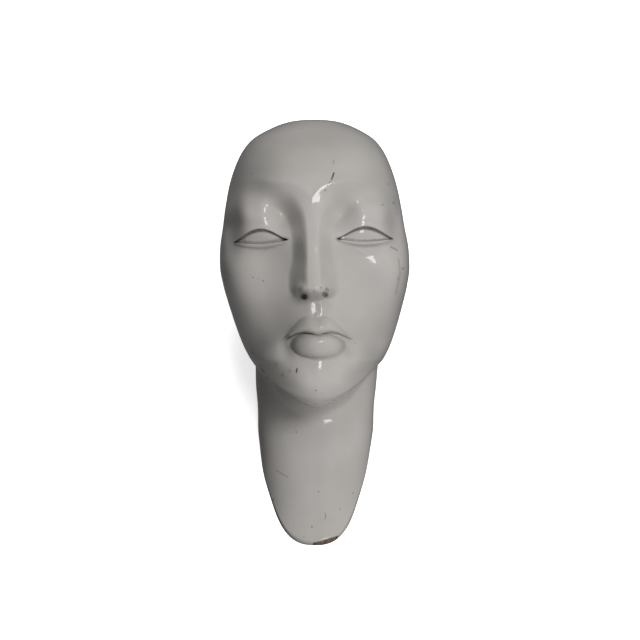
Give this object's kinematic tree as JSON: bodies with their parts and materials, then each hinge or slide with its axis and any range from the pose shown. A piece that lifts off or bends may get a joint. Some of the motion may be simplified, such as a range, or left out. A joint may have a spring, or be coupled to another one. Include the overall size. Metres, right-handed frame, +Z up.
{
  "type": "mannequin bust",
  "caption": "Bald stylised mannequin head with carved face and long neck, glossy pale grey, lying face up on the flat slanted cut that ends the neck.",
  "frame": {"origin": "middle of the flat slanted cut at the end of the neck, on the surface that the part lies on", "axes": "+Z up from the cut, +Y along the cut from the throat's tip towards the crown, +X to the right of someone who faces the face"},
  "size_m": [0.1551, 0.3441, 0.1939],
  "materials": {
    "gloss_paint": "glossy pale warm-grey paint over a glass-fibre casting, scuffed, with small chips and dirt in the creases"
  },
  "bodies": {
    "root": {"mannequin_head": "gloss_paint"}
  },
  "joints": []
}
